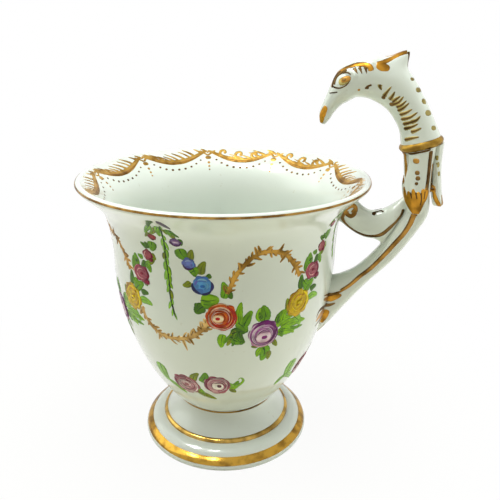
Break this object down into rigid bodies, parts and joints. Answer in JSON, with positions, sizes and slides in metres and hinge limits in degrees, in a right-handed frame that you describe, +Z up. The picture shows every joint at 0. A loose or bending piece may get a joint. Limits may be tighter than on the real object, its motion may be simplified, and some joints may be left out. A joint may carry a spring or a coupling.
{
  "type": "footed porcelain cup with bird-head handle",
  "caption": "Flared porcelain cup on a spreading round foot, with a high handle that ends in a bird's head, gilded at lip, waist, foot and collar; holds a small drink or stands on show.",
  "frame": {"origin": "middle of the foot's resting ring, on the table plane", "axes": "+Z up the cup's axis, +X from that axis out to the handle, Y across the handle, +Y to the far side as seen in the picture"},
  "size_m": [0.0995, 0.0802, 0.1135],
  "materials": {
    "porcelain": "clear glossy glaze over white porcelain, painted in enamels",
    "gilt_porcelain": "glazed porcelain gilded all round",
    "gilding": "burnished fired gold"
  },
  "bodies": {
    "root": {"bowl": "porcelain", "foot": "porcelain", "handle_stem": "porcelain", "handle_scroll": "porcelain", "leaf_near_side": "porcelain", "leaf_far_side": "porcelain", "leaf_outer": "porcelain", "leaf_inner": "porcelain", "neck_collar": "gilt_porcelain", "bird_head": "porcelain", "rim_gilding": "gilding", "waist_gilding": "gilding", "step_gilding": "gilding", "foot_edge_gilding": "gilding"}
  },
  "joints": []
}
